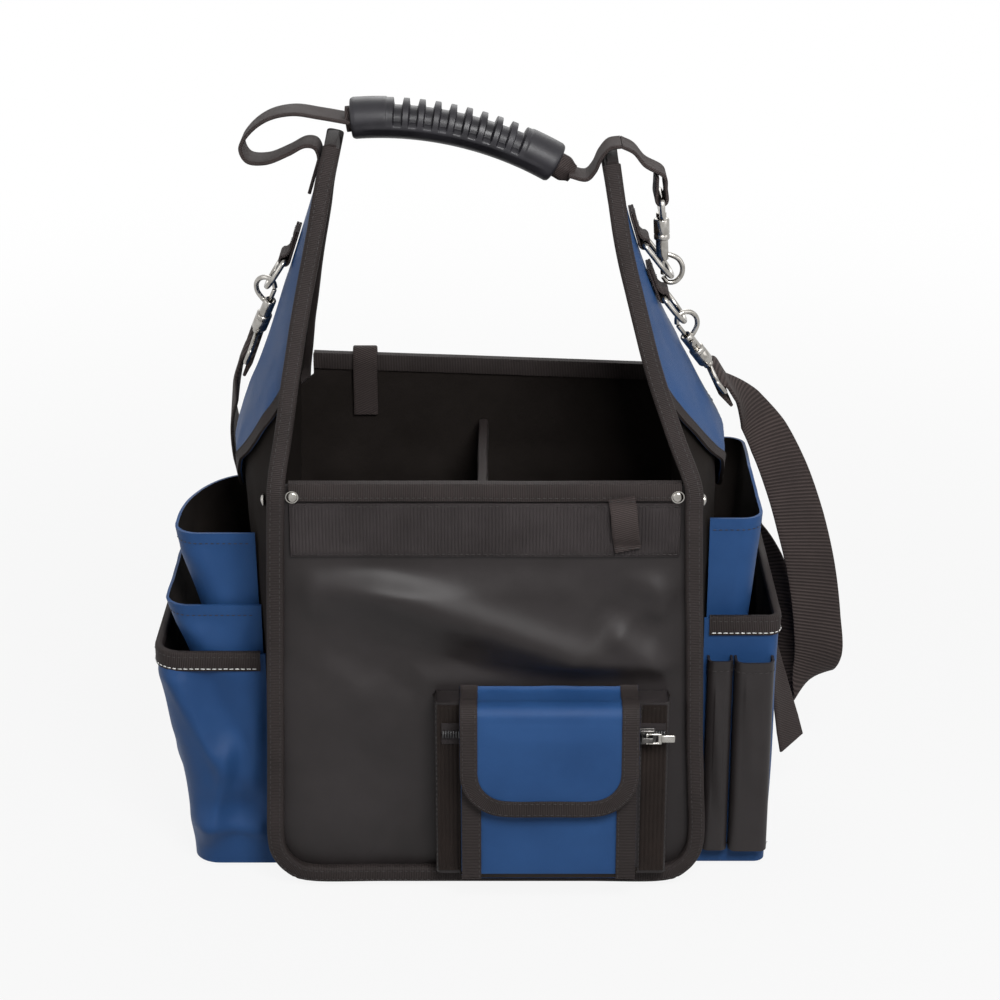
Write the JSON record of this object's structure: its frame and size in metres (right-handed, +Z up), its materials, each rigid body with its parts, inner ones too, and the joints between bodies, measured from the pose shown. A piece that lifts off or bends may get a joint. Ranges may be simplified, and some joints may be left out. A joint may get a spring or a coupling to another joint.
{
  "type": "open-top tool bag",
  "caption": "Open-top cloth tool bag with tall gable ends, a ribbed carrying grip, nested side pockets, a flap pocket and a clip-on shoulder strap.",
  "frame": {"origin": "middle of the base's rest face", "axes": "+Z up, -Y towards the front with the flap pocket, +X towards the side with the tool sleeves"},
  "size_m": [0.4173, 0.2526, 0.4482],
  "materials": {
    "black_cloth": "coated satin fabric",
    "dark_lining": "matte woven fabric",
    "blue_cloth": "woven fabric",
    "binding": "woven binding tape",
    "webbing": "ribbed webbing",
    "grip_plastic": "moulded",
    "nickel": "nickel plated"
  },
  "bodies": {
    "bag": {"base_panel": "black_cloth", "front_panel": "black_cloth", "back_panel": "black_cloth", "left_side_panel": "black_cloth", "right_side_panel": "black_cloth", "left_lower_binding": "black_cloth", "right_lower_binding": "black_cloth", "right_inner_sleeve": "black_cloth", "right_outer_sleeve": "black_cloth", "front_pouch": "black_cloth", "zip_tape": "black_cloth", "base_board": "dark_lining", "centre_divider": "dark_lining", "loop_patch": "dark_lining", "left_gable_cover": "blue_cloth", "right_gable_cover": "blue_cloth", "left_lower_pocket": "blue_cloth", "left_middle_pocket": "blue_cloth", "left_upper_pocket": "blue_cloth", "right_lower_pocket": "blue_cloth", "right_upper_pocket": "blue_cloth", "flap_pocket": "blue_cloth", "divider_binding": "binding", "front_rim_binding": "binding", "back_rim_binding": "binding", "front_edge_binding": "binding", "back_edge_binding": "binding", "front_band": "webbing", "back_band": "webbing", "front_tab": "webbing", "back_tab": "webbing", "left_tab": "webbing", "right_tab": "webbing", "handle_tab": "webbing", "handle_strap_left": "webbing", "handle_strap_right": "webbing", "shoulder_strap_left": "webbing", "shoulder_strap_right": "webbing", "strap_tail": "webbing", "strap_adjuster": "grip_plastic"},
    "grip": {"grip": "grip_plastic", "grip_core": "webbing"},
    "flap": {"flap": "blue_cloth", "flap_binding": "binding", "hook_patch": "dark_lining"},
    "zip_slider": {"zip_slider": "nickel"},
    "zip_pull": {"zip_pull": "nickel"},
    "left_ring": {"left_ring": "nickel", "left_eye": "nickel"},
    "left_hook": {"left_hook": "nickel"},
    "left_bolt": {"left_bolt": "nickel"},
    "right_ring": {"right_ring": "nickel", "right_eye": "nickel"},
    "right_hook": {"right_hook": "nickel"},
    "right_bolt": {"right_bolt": "nickel"},
    "handle_ring": {"handle_ring": "nickel", "handle_eye": "nickel"},
    "handle_hook": {"handle_hook": "nickel"},
    "handle_bolt": {"handle_bolt": "nickel"}
  },
  "joints": [
    {"name": "grip_lift", "type": "slide", "parent": "bag", "child": "grip", "axis": [0, 0, 1], "range_m": [0, 0.025], "deforming": ["handle_strap_left", "handle_strap_right"]},
    {"name": "flap_hinge", "type": "hinge", "parent": "bag", "child": "flap", "pos_m": [0.0365, -0.1154, 0.1274], "axis": [-1, 0, 0], "range_deg": [0, 140]},
    {"name": "zip_slide", "type": "slide", "parent": "bag", "child": "zip_slider", "axis": [1, 0, 0], "range_m": [-0.105, 0]},
    {"name": "zip_pull_turn", "type": "hinge", "parent": "zip_slider", "child": "zip_pull", "pos_m": [0.092, -0.1221, 0.107], "axis": [0, 0, -1], "range_deg": [0, 14]},
    {"name": "left_ring_swing", "type": "hinge", "parent": "bag", "child": "left_ring", "pos_m": [-0.11525, 0, 0.356], "axis": [0, 1, 0], "range_deg": [0, 30], "deforming": ["shoulder_strap_left"]},
    {"name": "left_hook_swivel", "type": "hinge", "parent": "left_ring", "child": "left_hook", "pos_m": [-0.12553, 0.00449, 0.32802], "axis": [-0.3403, 0.4404, -0.8308], "range_deg": [-25, 25]},
    {"name": "left_bolt_slide", "type": "slide", "parent": "left_hook", "child": "left_bolt", "axis": [-0.3403, 0.4404, -0.8308], "range_m": [0, 0.0055], "stiffness_N_per_m": 250, "springref_m": -0.002},
    {"name": "right_ring_swing", "type": "hinge", "parent": "bag", "child": "right_ring", "pos_m": [0.10293, 0, 0.334], "axis": [0, -1, 0], "range_deg": [0, 25], "deforming": ["shoulder_strap_right"]},
    {"name": "right_hook_swivel", "type": "hinge", "parent": "right_ring", "child": "right_hook", "pos_m": [0.11727, 0.00347, 0.30673], "axis": [0.54, 0.34, -0.77], "range_deg": [-25, 25]},
    {"name": "right_bolt_slide", "type": "slide", "parent": "right_hook", "child": "right_bolt", "axis": [0.54, 0.34, -0.77], "range_m": [0, 0.0055], "stiffness_N_per_m": 250, "springref_m": -0.002},
    {"name": "handle_ring_swing", "type": "hinge", "parent": "bag", "child": "handle_ring", "pos_m": [0.09101, 0, 0.366], "axis": [0, -1, 0], "range_deg": [0, 20], "deforming": ["handle_strap_right"]},
    {"name": "handle_hook_swivel", "type": "hinge", "parent": "handle_ring", "child": "handle_hook", "pos_m": [0.10213, 0, 0.35466], "axis": [-0.0499, 0, 0.9988], "range_deg": [-25, 25]},
    {"name": "handle_bolt_slide", "type": "slide", "parent": "handle_hook", "child": "handle_bolt", "axis": [-0.0499, 0, 0.9988], "range_m": [0, 0.0055], "stiffness_N_per_m": 250, "springref_m": -0.002}
  ]
}
